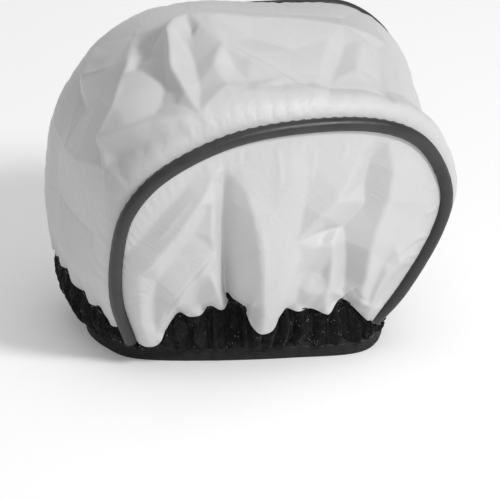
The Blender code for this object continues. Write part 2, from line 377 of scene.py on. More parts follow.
class Nodes:
    """A few words for writing a shader's node tree."""

    def __init__(self, name):
        self.mat = bpy.data.materials.new(name)
        self.mat.use_nodes = True
        self.tree = self.mat.node_tree
        self.shader = self.tree.nodes["Principled BSDF"]

    def put(self, target, value):
        if isinstance(value, bpy.types.NodeSocket):
            self.tree.links.new(value, target)
        else:
            target.default_value = value

    def add(self, kind, settings=(), **inputs):
        node = self.tree.nodes.new(kind)
        for key, value in dict(settings).items():
            setattr(node, key, value)
        for key, value in inputs.items():
            self.put(node.inputs[int(key[1:]) if key[0] == "i" and key[1:].isdigit()
                                 else key.replace("_", " ")], value)
        return node

    def math(self, operation, a, b=0.0):
        return self.add("ShaderNodeMath", {"operation": operation}, i0=a, i1=b).outputs[0]

    def wave(self, distance, pitch):
        """Sine wave of a distance, with the given pitch in metres."""
        return self.math("SINE", self.math("MULTIPLY", distance, 2 * math.pi / pitch))

    def noise(self, vector, scale, detail=3.0, roughness=0.5):
        return self.add("ShaderNodeTexNoise", Vector=vector, Scale=scale, Detail=detail,
                        Roughness=roughness).outputs[0]

    def ramp(self, factor, *stops):
        node = self.add("ShaderNodeValToRGB", Fac=factor)
        elements = node.color_ramp.elements
        while len(elements) < len(stops):
            elements.new(0.5)
        for element, (position, value) in zip(elements, stops):
            colour = (value, value, value) if isinstance(value, float) else value
            element.position, element.color = position, (*colour, 1.0)
        return node.outputs["Color"]

    def remap(self, value, low, high, to_low, to_high):
        return self.add("ShaderNodeMapRange", Value=value, From_Min=low, From_Max=high,
                        To_Min=to_low, To_Max=to_high).outputs["Result"]

    def bump(self, height, distance, strength=1.0, under=None):
        node = self.add("ShaderNodeBump", Height=height, Distance=distance, Strength=strength)
        if under is not None:
            self.put(node.inputs["Normal"], under)
        return node.outputs["Normal"]

    def split(self, vector):
        return self.add("ShaderNodeSeparateXYZ", Vector=vector).outputs

    def weave(self):
        """Distances along and across the flat cloth, in metres."""
        stored = self.add("ShaderNodeAttribute", {"attribute_name": "weave"}).outputs["Vector"]
        return self.split(stored)[:2]

    def place(self):
        return self.add("ShaderNodeTexCoord").outputs["Object"]

    def finish(self, **inputs):
        for key, value in inputs.items():
            self.put(self.shader.inputs[key.replace("_", " ")], value)
        return self.mat


def white_nylon(tone=0.60):
    """Coated nylon twill: fine diagonal ribs, a satin sheen and faint handling marks."""
    n = Nodes("white_nylon_twill")
    x, y = n.weave()
    place = n.place()
    rib = n.wave(n.math("ADD", x, n.math("MULTIPLY", y, 0.55)), 0.00085)
    thread = n.wave(y, 0.00045)
    weave = n.math("ADD", rib, n.math("MULTIPLY", thread, 0.35))
    patches = n.remap(n.noise(place, 38.0, 2.0), 0.45, 0.62, 0.15, 1.0)
    marks = n.noise(place, 120.0, 4.0, 0.6)
    shade = n.ramp(n.math("ADD", n.math("MULTIPLY", n.noise(place, 22.0, 3.0), 0.6),
                          n.math("MULTIPLY", marks, 0.4)),
                   (0.30, tone * 0.955), (0.70, tone))
    fine = n.bump(n.math("MULTIPLY", weave, patches), 0.000012, 0.55)
    soft = n.bump(marks, 0.00012, 0.35, fine)
    rough = n.remap(marks, 0.3, 0.7, 0.42, 0.54)
    return n.finish(Base_Color=shade, Roughness=rough, Normal=soft, Sheen_Weight=0.35,
                    Sheen_Roughness=0.35, Specular_IOR_Level=0.5)


def black_vinyl():
    """Soft vinyl sleeve: satin, with a fine grain and small cross wrinkles."""
    n = Nodes("black_vinyl_sleeve")
    x, y = n.weave()
    place = n.place()
    grain = n.noise(place, 2600.0, 3.0, 0.6)
    cross = n.noise(n.add("ShaderNodeCombineXYZ", X=n.math("MULTIPLY", x, 520.0),
                          Y=n.math("MULTIPLY", y, 160.0)).outputs[0], 1.0, 3.0)
    worn = n.noise(place, 90.0, 4.0, 0.6)
    colour = n.ramp(worn, (0.35, 0.016), (0.65, 0.030))
    rough = n.remap(worn, 0.3, 0.7, 0.38, 0.52)
    fine = n.bump(grain, 0.00003, 0.35)
    return n.finish(Base_Color=colour, Roughness=rough,
                    Normal=n.bump(cross, 0.00012, 0.5, fine), Specular_IOR_Level=0.55)


def black_knit():
    """Open knit: small loops with dull gaps between, and highlights of the filaments painted into the
    colour as light grey specks.
    """
    n = Nodes("black_knit_mesh")
    x, y = n.weave()
    place = n.place()
    grid = n.add("ShaderNodeCombineXYZ", X=n.math("MULTIPLY", x, 1100.0),
                 Y=n.math("MULTIPLY", y, 1250.0)).outputs[0]
    loops = n.add("ShaderNodeTexVoronoi", {"feature": "F1"}, Vector=grid, Scale=1.0,
                  Randomness=0.75).outputs["Distance"]
    specks = n.add("ShaderNodeTexVoronoi", {"feature": "F1"}, Vector=place, Scale=1500.0,
                   Randomness=1.0).outputs["Distance"]
    patches = n.noise(place, 300.0, 3.0, 0.6)
    # painted highlight: light grey specks mixed into the base colour where the filaments would catch
    # the light
    painted_glint = n.math("MULTIPLY", n.remap(specks, 0.10, 0.24, 1.0, 0.0),
                   n.remap(patches, 0.54, 0.64, 0.0, 1.0))
    base = n.ramp(loops, (0.15, 0.010), (0.65, 0.001))
    colour = n.add("ShaderNodeMix", {"data_type": "RGBA"}, Factor=painted_glint, i6=base,
                   i7=(0.55, 0.55, 0.55, 1.0)).outputs[2]
    rough = n.remap(painted_glint, 0.0, 1.0, 0.85, 0.45)
    return n.finish(Base_Color=colour, Roughness=rough, Sheen_Weight=0.04,
                    Normal=n.bump(loops, 0.0006, -0.9), Specular_IOR_Level=0.2)


def black_elastic():
    """Woven elastic: ribbed yarns with short cross ticks, a little greyer where the weave rises."""
    n = Nodes("black_woven_elastic")
    x, y = n.weave()
    place = n.place()
    woven = n.math("MULTIPLY", n.wave(x, 0.0009), n.wave(y, 0.00042))
    fuzz = n.noise(place, 1400.0, 4.0, 0.65)
    colour = n.ramp(n.math("ADD", n.math("MULTIPLY", woven, 0.25), fuzz),
                    (0.30, 0.002), (0.80, 0.009))
    fine = n.bump(fuzz, 0.0001, 0.4)
    return n.finish(Base_Color=colour, Roughness=0.6, Sheen_Weight=0.03,
                    Normal=n.bump(woven, 0.00012, 0.7, fine))


def sewing_thread(name, dark=0.012, light=0.035):
    """Twisted sewing thread."""
    n = Nodes(name)
    place = n.place()
    twist = n.noise(place, 3200.0, 2.0, 0.5)
    colour = n.ramp(twist, (0.35, dark), (0.65, light))
    return n.finish(Base_Color=colour, Roughness=0.6, Normal=n.bump(twist, 0.0001, 0.6),
                    Sheen_Weight=0.2)


def binding_tape():
    """Plain woven tape over the raw seam edges."""
    n = Nodes("white_binding_tape")
    x, y = n.weave()
    over = n.math("MULTIPLY", n.wave(x, 0.0006), n.wave(y, 0.0006))
    fuzz = n.noise(n.place(), 900.0, 4.0, 0.6)
    colour = n.ramp(fuzz, (0.3, 0.56), (0.7, 0.70))
    return n.finish(Base_Color=colour, Roughness=0.85, Sheen_Weight=0.2,
                    Normal=n.bump(over, 0.00008, 0.7))


def filler_cord():
    """Spun cotton filler cord, seen only where the sleeves end."""
    n = Nodes("spun_filler_cord")
    fuzz = n.noise(n.place(), 2200.0, 4.0, 0.6)
    colour = n.ramp(fuzz, (0.3, (0.42, 0.41, 0.38)), (0.7, (0.62, 0.60, 0.55)))
    return n.finish(Base_Color=colour, Roughness=0.9, Normal=n.bump(fuzz, 0.0002, 0.6))


def studio_floor():
    """Pale matte floor, lit a little from within so that it fades into the background."""
    n = Nodes("studio_floor")
    tone = n.ramp(n.noise(n.place(), 3.0, 2.0), (0.3, 0.93), (0.7, 0.95))
    return n.finish(Base_Color=tone, Roughness=0.8, Specular_IOR_Level=0.2,
                    Emission_Color=(1, 1, 1, 1), Emission_Strength=0.13)


NYLON = white_nylon()
VINYL = black_vinyl()
KNIT = black_knit()
ELASTIC = black_elastic()
BLACK_THREAD = sewing_thread("black_sewing_thread")
WHITE_THREAD = sewing_thread("white_sewing_thread", 0.60, 0.78)
TAPE = binding_tape()
FILLER = filler_cord()


# ---------- front panel

# The gathered lower edge, from the left foot to the right foot: (x, z, height of the relief)
FRONT_EDGE = (
    (-35.4, 7.6, 0.2), (-33.6, 7, 0.9), (-31.2, 7.8, 1.2), (-29, 11.8, 0.6),
    (-26.8, 16.4, -0.4), (-24.4, 18.6, -1), (-21.6, 17.4, 0.5), (-18.4, 18.2, -0.1),
    (-15.6, 20.3, -1.2), (-12.6, 19, -0.3), (-9.6, 21.6, -3), (-6.2, 19.4, -2.4),
    (-4.9, 14.8, 0.6), (-3, 12.4, 2.4), (-0.8, 12, 2.8), (1.6, 13.8, 2.2),
    (3.4, 16.8, 0.9), (5.2, 18.4, -0.6), (8.8, 16.9, 0.8), (12.6, 17.4, 0),
    (16.2, 15.7, 1.6), (18, 15.4, 1.5), (19.2, 18.4, -1), (22.4, 18.2, -1.8),
    (25.8, 15, -0.4), (29.4, 10.6, 0.9), (32, 7.6, 0.2),
)
# Ridges and valleys of the front panel: (x, z, height), millimetres
FRONT_RELIEF = (
    # the deep pleat in the middle: valley, flank and crest
    ((-14.2, 69.8, -0.1), (-14.4, 62, -1.9), (-13.7, 49, -3.5), (-12.8, 36.5, -4.2),
     (-11.9, 26, -4.3), (-10.6, 22.8, -4)),
    ((-12.2, 66.5, 0), (-11.6, 58, -0.2), (-10.8, 49, -0.5), (-10, 36.5, -0.6),
     (-9.2, 25, -0.6), (-8, 20.5, -1.6)),
    ((-9.8, 68.8, 0.2), (-8.2, 61, 1.5), (-6.4, 54, 2.5), (-4.9, 46, 3.2),
     (-4.1, 36, 3.7), (-3.6, 24.6, 3.9), (-2.9, 14, 3)),
    # the left of the pleat
    ((-17.6, 66, 0.7), (-17.6, 58, 1.6), (-17.4, 48, 1.6), (-16, 41, 0.7),
     (-14.9, 33, 0.2), (-14, 26, 0.2)),
    ((-37.6, 36, 0.9), (-33.2, 43.2, 2), (-27.7, 50.5, 2.5), (-21.6, 59.6, 2.1),
     (-16.4, 67.8, 0.5)),
    ((-32.5, 34, 0.1), (-27.5, 42, -0.2), (-22.8, 50, 0.2), (-19.4, 58, 0.8)),
    ((-37.4, 48, -0.2), (-32, 56, -0.1), (-24, 65.5, -0.1)),
    ((-29.6, 17.5, 1.4), (-26.6, 27, 2), (-22, 35.4, 1.9), (-16.6, 43.2, 0.7)),
    ((-36.6, 27, 1.2), (-36.2, 17, 1.3), (-34.6, 10, 1.2)),
    ((-31.6, 27, -0.6), (-32.2, 18, -0.6), (-31.4, 12.5, 0.2)),
    ((-22.6, 28, 0.1), (-22.8, 21.5, -0.6)),
    ((-17.9, 35, 1.1), (-15.2, 28, 1.2), (-12.7, 20.6, 0.4)),
    ((-19.6, 26.5, -0.4), (-18.6, 21.5, -0.5)),
    # the tube right of the crest, and the quilted area beside it
    ((11, 66, 0.3), (8.6, 54, 0.9), (6.8, 43, 1.5), (5.1, 34.5, 2.4),
     (4.7, 24, 2.5), (4.6, 19, 1.6)),
    ((-2, 66, 0.9), (-0.4, 54, 2.1), (0.2, 42, 2.7), (0.2, 30, 3.3), (0.2, 17, 3)),
    ((8.2, 36.5, 0.7), (7.8, 31.2, 0), (8, 26.5, 0.4), (7.8, 20.6, 0.4)),
    ((11.8, 30.6, 0), (15, 30.4, 0.3)),
    ((11, 24, 1.7), (14.6, 23.6, 1.7)),
    # the upper pocket under its soft ridge
    ((9.4, 46.4, 2), (13.6, 50.6, 3), (18, 54.6, 2.8), (21.6, 60, 1.9),
     (25, 67, 0.6)),
    ((12, 43.4, -0.8), (16.4, 43.8, -1.6), (21, 44.2, -1.4)),
    ((12.6, 39.6, 1.2), (17.4, 39.8, 1.8)),
    # the valley from the top right and its right bank
    ((30.2, 71, -0.1), (28, 64, -1.2), (26.8, 56.5, -1.9), (27, 50.5, -1.3),
     (27.4, 47, 0.2)),
    ((33.6, 70, 0.2), (34.8, 60, 1.8), (33.6, 51, 2.1), (30.2, 43, 2.5),
     (28.6, 36, 2.7), (27.9, 29, 2.6), (27.2, 23, 1.9), (28, 16.5, 1.4)),
    # the lower pocket, between the upright ridge and the bank
    ((17.8, 37.8, 1.5), (17.4, 31, 2.1), (17.1, 24, 2.2), (17, 18, 1.9)),
    ((21.4, 39.6, -0.9), (22.6, 34.5, -1.8), (22.9, 28.5, -2.1), (22, 23, -1.3)),
    ((21, 21.4, -0.2), (24.4, 17.8, -0.6)),
    # the folds at the lower right
    ((37, 46, 1.1), (36.2, 37, 1.1), (33, 31, 0.4), (31.2, 24, 0.2),
     (29.8, 18, 0.3)),
    ((41.4, 28.6, 0.5), (38, 29.2, 1.5), (34.4, 26.4, 1.7), (32, 21, 1.4),
     (30.8, 15, 1)),
    ((38.2, 25.2, -0.8), (35.6, 21.2, -1.3), (33.4, 16.4, -0.9)),
    # the open area under the top seam
    ((18, 66, 0.7), (17, 59, 1.7)), ((5, 71, 0.6), (4.6, 62, 1.5)),
    ((44, 58, 0.9), (44.5, 48, 0.8)), ((40, 66, 0.4),),
)
# Thin creases: points, height, reach to the left and to the right, roundness, end strengths
FRONT_CREASES = (
    (((-36.8, 36.6), (-32.4, 43.2), (-27.3, 50.6), (-21, 60.4), (-16.2, 68)),
     0.42, 1.6, 0.8, 1.2, (0.2, 0.2)),
    (((-33.8, 47), (-28.4, 55), (-23, 62)), 0.3, 1.8, 1.2, 1.4, (0, 0)),
    (((-30.2, 16), (-27.4, 26.4), (-22.6, 34.6), (-16.2, 43.4)), -0.34, 0.5, 0.6, 1.4, (0.3, 0)),
    (((-29.2, 16), (-26.4, 26), (-21.6, 34.2), (-15.6, 42.6)), 0.4, 0.6, 1.2, 1.3, (0.3, 0)),
    (((-18.2, 36), (-15.4, 28.4), (-12.6, 20.4)), 0.4, 1, 0.8, 1.3, (0, 0.4)),
    (((-20, 19), (-16.6, 23.8), (-13, 19.4)), 0.45, 0.8, 0.8, 1.4, (0.3, 0.3)),
    (((-4.6, 54), (-3.2, 40), (-2.8, 26), (-2, 13)), 0.3, 1.6, 1, 1.5, (0, 0.5)),
    (((-4.2, 41.6), (-1, 42.6)), 0.16, 0.5, 0.5, 1.5, (0, 0)),
    (((47.2, 35.6), (43.4, 35.8), (38.6, 33.4), (34, 30.6)), 0.45, 0.5, 1.1, 1.2, (0.5, 0)),
    (((43.6, 30.2), (40, 30.6), (36.2, 28.6)), 0.4, 0.5, 0.9, 1.2, (0.6, 0)),
    (((49.6, 51), (46.6, 50.6)), 0.35, 0.5, 0.6, 1.3, (0.6, 0)),
    (((48.6, 44.2), (45.6, 43)), 0.35, 0.5, 0.6, 1.3, (0.6, 0)),
    (((24.6, 24.4), (26.4, 20), (29.4, 17.2)), -0.4, 0.5, 0.8, 1.3, (0, 0.2)),
    (((20.8, 23.6), (23, 19.8), (26.4, 16.2)), -0.45, 0.6, 0.6, 1.3, (0.2, 0)),
    (((-38.2, 30), (-35, 29.4)), -0.3, 0.4, 0.5, 1.4, (0.6, 0)),
    (((-38.4, 25.6), (-35.6, 25.2)), -0.24, 0.4, 0.5, 1.4, (0.6, 0)),
    (((12, 71), (11, 66), (10.4, 60)), 0.3, 0.8, 1.6, 1.5, (0.5, 0)),
    (((21, 70.4), (19.6, 66)), 0.3, 0.6, 1, 1.5, (0.6, 0)),
    (((0.8, 72), (1.4, 66), (1, 60)), 0.26, 1, 1.6, 1.5, (0.5, 0)),
    (((42, 66.6), (39, 64)), 0.3, 0.5, 0.8, 1.4, (0.6, 0)),
    (((47.6, 60), (44.8, 58.6)), 0.26, 0.5, 0.8, 1.4, (0.6, 0)),
)
FRONT_HEM_DEPTH = ((-37, -19.9), (-34.6, -20.7), (-24.9, -25), (-2.4, -27.8),
                   (19.6, -26.7), (29.4, -23.7), (33, -22.6))


def belly(u, v, depth):
    """How far a panel bulges between its edges."""
    across = np.sin(math.pi * np.clip(u, 1e-4, 1 - 1e-4))[:, None] ** 0.5
    return depth * np.sin(math.pi * v[None] ** 0.8) * across


def front_panel_base(u, v):
    """The smooth front panel, from its gathered lower edge up to the piping."""
    edge = np.array(FRONT_EDGE)
    depth = np.array(FRONT_HEM_DEPTH)
    hem = Path(edge)(u)
    y = np.interp(hem[:, 0], depth[:, 0], depth[:, 1])
    low = np.stack([hem[:, 0], y, hem[:, 1]], -1) * MM
    high = FRONT.at(0.004 + 0.992 * u, PANEL_EDGE)
    flat = low[:, None] * (1 - v[None, :, None]) + high[:, None] * v[None, :, None]
    flat[..., 1] -= belly(u, v, 0.0035)
    return flat


def front_panel_points(columns, rows):
    """The front panel: gathered at its lower edge, smooth at the piping."""
    u = np.linspace(0, 1, columns)
    v = np.linspace(0, 1, rows)
    flat = front_panel_base(u, v)
    x, z = flat[..., 0] / MM, flat[..., 2] / MM

    border = FRONT.at(np.linspace(0, 1, 41), -PIPING_RADIUS)[:, [0, 2]] / MM
    lines = [tuple((a, b, 0.0) for a, b in border), FRONT_EDGE, *FRONT_RELIEF]
    height = 1.35 * relief(lines, (-44.0, 2.0), (58.0, 82.0), 0.4, 0.6)(x, z)
    for line, *fold in FRONT_CREASES:
        height += crease(x, z, line, *fold)
    # gathers: short uneven pleats that start at the stitched edge and fade out upwards
    rng = np.random.default_rng(11)
    wave = ripples(rng, 7, 12, 24)(u)[:, None]
    reach = 0.10 + 0.06 * ripples(rng, 4, 3, 8)(u)[:, None]
    height += 0.55 * wave * np.exp(-(v[None] / np.clip(reach, 0.04, 1)) ** 1.4)
    # small puckers where the panel is sewn to the piping
    pucker = ripples(rng, 8, 30, 70)(u)[:, None]
    height += 0.05 * pucker * smooth_step((v[None] - 0.86) / 0.08) * smooth_step((1 - v[None]) / 0.03)
    fade = smooth_step((1 - v[None]) / 0.07)
    height *= fade
    lean = unit(np.array([0.0, -1.0, 0.16]))
    return flat + lean * height[..., None] * MM


# ---------- crown strip

CROWN_LENGTH, CROWN_DEPTH = 240.0, 66.0      # the strip's rough size, for the relief's scale
# Ridges and valleys of the crown: (share along the seams, share from front to rear, height)
CROWN_RELIEF = (
    # the edge of the flat top, and its left end coming down to the front
    ((0.72, 0.56, 0.3), (0.66, 0.54, 1), (0.6, 0.52, 1.8), (0.54, 0.5, 2.4),
     (0.477, 0.475, 3), (0.439, 0.495, 3.4), (0.41, 0.53, 3.6), (0.394, 0.505, 3.8),
     (0.387, 0.465, 3.8), (0.382, 0.368, 3.3), (0.377, 0.291, 2.8), (0.384, 0.172, 2),
     (0.391, 0.075, 0.7)),
    ((0.62, 0.72, -0.5), (0.52, 0.7, -0.8), (0.43, 0.73, -0.6)),
    # dimple and ridges inside that corner
    ((0.396, 0.43, 1.4), (0.401, 0.379, -0.1), (0.402, 0.31, -0.4), (0.4, 0.22, 0.1)),
    ((0.399, 0.46, 2.5), (0.409, 0.42, 1.5)), ((0.419, 0.455, 2.9), (0.432, 0.47, 3.1)),
    ((0.411, 0.447, 0.8),),
    ((0.437, 0.34, 2.2), (0.465, 0.28, 1.7), (0.506, 0.181, 1.2), (0.539, 0.11, 0.9)),
    ((0.437, 0.34, 2.2), (0.424, 0.259, 1.6), (0.43, 0.16, 1.3), (0.453, 0.118, 1)),
    ((0.443, 0.25, 0), (0.455, 0.185, 0)), ((0.475, 0.38, 1), (0.52, 0.32, 0.9)),
    # the bright wedge on the left shoulder
    ((0.279, 0.259, 3.3), (0.308, 0.302, 3), (0.325, 0.413, 2.2), (0.337, 0.5, 1.4)),
    ((0.279, 0.259, 3.3), (0.298, 0.209, 2.7), (0.315, 0.172, 2.3), (0.337, 0.14, 1.9),
     (0.365, 0.095, 1.2)),
    ((0.375, 0.4, 0.8), (0.365, 0.28, -0.3), (0.353, 0.219, -0.3), (0.343, 0.178, 0.6)),
    ((0.371, 0.16, 0.6),),
    ((0.318, 0.45, -0.4), (0.298, 0.36, -0.8), (0.27, 0.32, -0.3)),
    ((0.283, 0.18, -0.4), (0.32, 0.11, -0.7), (0.355, 0.06, -0.3)),
    ((0.272, 0.235, 2), (0.262, 0.19, 1), (0.243, 0.09, 0.3)),
    # the upper left: a small peak and the long shallow valley beside it
    ((0.277, 0.698, 2.1), (0.3, 0.6, 1.4), (0.322, 0.53, 0.9)),
    ((0.277, 0.698, 2.1), (0.29, 0.76, 1.2), (0.3, 0.84, 0.3)),
    ((0.262, 0.73, -0.2), (0.262, 0.61, -0.8), (0.288, 0.53, -0.9)),
    ((0.385, 0.6, 0.4), (0.372, 0.53, -0.9), (0.354, 0.49, -1.1), (0.34, 0.455, -0.4)),
    ((0.322, 0.64, 1), (0.35, 0.66, 0.6)),
    # the right half: soft dents behind the lip
    ((0.599, 0.425, 0.2), (0.58, 0.302, -1), (0.56, 0.17, -0.3)),
    ((0.575, 0.4, 1.3), (0.552, 0.23, 0.9)), ((0.617, 0.42, 1.2), (0.602, 0.25, 0.8)),
    ((0.645, 0.47, 0.2), (0.64, 0.25, -0.8), (0.64, 0.11, -0.1)),
    ((0.668, 0.38, 0.7), (0.665, 0.18, 0.5)),
    ((0.76, 0.55, 0.5), (0.77, 0.3, -0.5)), ((0.83, 0.5, -0.6), (0.85, 0.3, 0.5)),
    ((0.91, 0.6, 0.5), (0.92, 0.3, -0.5)),
    # the left side
    ((0.224, 0.425, 0.7), (0.205, 0.6, 0.6), (0.2, 0.82, 0.3)),
    ((0.165, 0.21, -0.5), (0.15, 0.4, -0.7), (0.14, 0.62, -0.4)),
    ((0.1, 0.12, 0.3), (0.085, 0.35, 0.6), (0.075, 0.6, 0.5)),
)
CROWN_CREASES = (
    (((0.44, 0.352), (0.466, 0.28), (0.507, 0.181), (0.542, 0.098)), -0.8, .8, .7, 1.3, (0, .2)),
    (((0.435, 0.33), (0.461, 0.263), (0.502, 0.166), (0.538, 0.086)), 0.65, 1.6, 1, 1.3, (0, 0)),
    (((0.41, 0.53), (0.392, 0.5), (0.386, 0.46), (0.382, 0.368), (0.378, 0.291),
      (0.384, 0.172), (0.39, 0.075)), 0.45, 1.2, 1, 1.3, (0, 0.2)),
    (((0.38, 0.275), (0.388, 0.24), (0.396, 0.218)), -0.4, 0.6, 0.6, 1.4, (0.2, 0)),
    (((0.28, 0.261), (0.309, 0.304), (0.326, 0.413)), 0.45, 1.4, 0.8, 1.3, (0.6, 0)),
    (((0.28, 0.256), (0.299, 0.209), (0.316, 0.172), (0.338, 0.14)), 0.42, 0.8, 1.2, 1.3, (.6, 0)),
    (((0.278, 0.698), (0.3, 0.602), (0.32, 0.535)), 0.36, 0.9, 0.7, 1.3, (0.6, 0)),
    (((0.43, 0.12), (0.49, 0.14), (0.56, 0.145), (0.62, 0.125), (0.7, 0.1)), -1,
     2.4, 2.6, 1.3, (0, 0)),
    (((0.645, 0.45), (0.641, 0.249), (0.64, 0.07)), -0.6, 0.9, 0.9, 1.4, (0, 0.3)),
)


def roll(t):
    """Section of a rolled lip: steep at the seam, easing into the strip."""
    return 6.75 * t * (1 - t) ** 2


def crown_base(u, v):
    """The smooth crown strip, from the front seam to the rear seam."""
    swell = along(CROWN_SWELL, u)
    start = PIPING_RADIUS - 0.0002
    low = FRONT.at(u, 0.0002, -start)[:, None]
    high = REAR.at(u, 0.0002, -start)[:, None]
    depth = (v * v * (3 - 2 * v))[None, :, None]
    out_low, out_high = FRONT.frame(u)[1][:, None], REAR.frame(u)[1][:, None]
    out = unit(out_low * (1 - depth) + out_high * depth)
    lip = sum(along(values, u)[:, None, None] * roll(np.minimum(d / reach, 1))
              for values, d, reach in ((FRONT_LIP, depth, FRONT_LIP_DEPTH),
                                       (REAR_LIP, 1 - depth, REAR_LIP_DEPTH)))
    rise = swell[:, None, None] * np.sin(math.pi * depth) ** 0.8 + lip
    points = low * (1 - depth) + high * depth + out * rise
    # the hem arches up between the two left feet
    arch = 0.0055 * np.exp(-(u / 0.07) ** 2)[:, None] * np.sin(math.pi * depth[..., 0]) ** 0.8
    points[..., 2] += arch
    return points, out


def crown_points(columns, rows):
    """The crown strip with its folds, puckers and gathers."""
    u = np.linspace(0, 1, columns)
    v = np.linspace(0, 1, rows)
    base, out = crown_base(u, v)
    depth = v * v * (3 - 2 * v)
    x = np.broadcast_to(u[:, None] * CROWN_LENGTH, base.shape[:2])
    y = np.broadcast_to(depth[None] * CROWN_DEPTH, base.shape[:2])
    scale = np.array([CROWN_LENGTH, CROWN_DEPTH, 1.0])
    lines = [[tuple(np.array(p) * scale) for p in line] for line in CROWN_RELIEF]
    for edge in (0.03, 0.97):
        lines.append([(s * CROWN_LENGTH, edge * CROWN_DEPTH, 0.0) for s in np.linspace(0, 1, 41)])
    for end in (-0.02, 1.02):
        lines.append([(end * CROWN_LENGTH, s * CROWN_DEPTH, 0.0) for s in (-0.05, 0.3, 0.6, 1.05)])
    lines += [[(s * CROWN_LENGTH, e * CROWN_DEPTH, 0.0) for s in (-.01, 1.01)] for e in (-.06, 1.06)]
    height = 1.45 * relief(lines, (-4.0, -4.0), (CROWN_LENGTH + 4, CROWN_DEPTH + 4), 0.4, 0.5)(x, y)
    for line, *fold in CROWN_CREASES:
        line = [(a * CROWN_LENGTH, b * CROWN_DEPTH) for a, b in line]
        height = height + crease(x, y, line, *fold)
    rng = np.random.default_rng(5)
    # small puckers along both seams, and gathers at the two lower ends
    for facing in (v, 1 - v):
        pucker = ripples(rng, 9, 26, 64)(u)[:, None]
        height = height + 0.10 * pucker * np.exp(-((facing - 0.16) / 0.10) ** 2)[None]
    for far in (u, 1 - u):
        gather = ripples(rng, 5, 5, 11)(v)[None]
        height = height + 0.9 * gather * np.exp(-(far[:, None] / 0.035) ** 1.5)
    seam = smooth_step(np.minimum(v, 1 - v) / 0.06)[None]
    return base + out * (height * seam)[..., None] * MM


# ---------- rear panel

def rear_panel_points(columns, rows):
    """The rear panel: gathered at the hem, with pleats that fan out to the piping."""
    u = np.linspace(0, 1, columns)
    v = np.linspace(0, 1, rows)
    rng = np.random.default_rng(23)
    low = Path(np.array(REAR_HEM) - CENTRE)(u)
    scallop = ripples(rng, 6, 6, 12)(u) * np.sin(math.pi * u) ** 0.4
    low[:, 2] += 0.0016 * scallop - 0.0012
    high = REAR.at(0.004 + 0.992 * u, PANEL_EDGE)
    points = low[:, None] * (1 - v[None, :, None]) + high[:, None] * v[None, :, None]
    points[..., 1] += belly(u, v, 0.0045)
    bend = 0.02 * np.sin(3.1 * v)[None] * ripples(rng, 3, 1, 3)(u)[:, None]
    fan = u[:, None] + bend
    height = np.zeros(points.shape[:2])
    for place, width, size, top in ((0.10, 0.030, 1.4, 0.55), (0.19, 0.022, 1.8, 0.85),
                                    (0.30, 0.034, 2.4, 0.95), (0.395, 0.020, 1.5, 0.6),
                                    (0.47, 0.032, 2.6, 0.9), (0.56, 0.022, 1.7, 0.7),
                                    (0.645, 0.034, 2.4, 0.95), (0.74, 0.022, 1.6, 0.75),
                                    (0.83, 0.030, 1.9, 0.9), (0.91, 0.024, 1.2, 0.6)):
        gap = (fan - place) / (width * (1 + 0.5 * v[None]))
        side = np.where(gap > 0, np.exp(-np.abs(gap) ** 1.5), np.exp(-np.abs(gap * 0.6) ** 1.8))
        height += size * side * smooth_step(1.15 - v[None] / top)
    height -= 1.2 * smooth_step(1.0 - v[None])
    height += 0.5 * ripples(rng, 7, 12, 26)(u)[:, None] * np.exp(-(v[None] / 0.12) ** 1.4)
    height += 0.12 * ripples(rng, 8, 30, 70)(u)[:, None] * smooth_step((v[None] - 0.84) / 0.1)
    height *= smooth_step((1 - v[None]) / 0.08)
    return points + np.array([0.0, 1.0, 0.16]) * height[..., None] * MM


# ---------- white cloth

SETTLE_FRAMES = 6
SETTLE_GROWTH = 0.004       # the cloth is cut this much too large, so that it buckles a little
SETTLE_LIMIT = 0.0008       # no point moves further than this


def settle(obj, pinned):
    """Cloth simulation: relaxes a sheet for a few frames with its edges held, and keeps the
    result. pinned is how firmly each point is held, from 0 to 1."""
    rest = np.array([v.co for v in obj.data.vertices])
    group = obj.vertex_groups.new(name="pinned")
    for weight in np.unique(pinned.round(2)):
        if weight > 0:
            members = np.nonzero(pinned.round(2) == weight)[0].tolist()
            group.add(members, float(weight), "REPLACE")
    cloth = obj.modifiers.new("settle", "CLOTH")
    settings = cloth.settings
    settings.quality = 6
    settings.mass = 0.12
    settings.tension_stiffness = settings.compression_stiffness = 18
    settings.shear_stiffness = 6
    settings.bending_stiffness = 10.0
    settings.tension_damping = settings.compression_damping = 12
    settings.air_damping = 2.0
    settings.vertex_group_mass = "pinned"
    settings.shrink_min = -SETTLE_GROWTH
    settings.effector_weights.gravity = 0.0
    cloth.collision_settings.use_collision = False
    cloth.point_cache.frame_start, cloth.point_cache.frame_end = 1, SETTLE_FRAMES
    scene = bpy.context.scene
    for number in range(1, SETTLE_FRAMES + 1):
        scene.frame_set(number)
    graph = bpy.context.evaluated_depsgraph_get()
    moved = np.array([v.co for v in obj.evaluated_get(graph).data.vertices])
    obj.modifiers.remove(cloth)
    obj.vertex_groups.remove(group)
    scene.frame_set(1)
    shift = moved - rest
    size = np.linalg.norm(shift, axis=1, keepdims=True)
    shift *= np.minimum(1, SETTLE_LIMIT / np.maximum(size, 1e-9))
    obj.data.vertices.foreach_set("co", (rest + shift).astype(np.float32).ravel())
    obj.data.update()


def held_edges(columns, rows, hem):
    """Firm hold along the edges of a sheet, and a weak one inside; hem is the lower edge's reach."""
    u = np.linspace(0, 1, columns)[:, None]
    v = np.linspace(0, 1, rows)[None]
    border = np.minimum(np.minimum(u, 1 - u) / 0.02, np.minimum(v / hem, (1 - v) / 0.05))
    return (1 - 0.8 * smooth_step(border)).ravel()


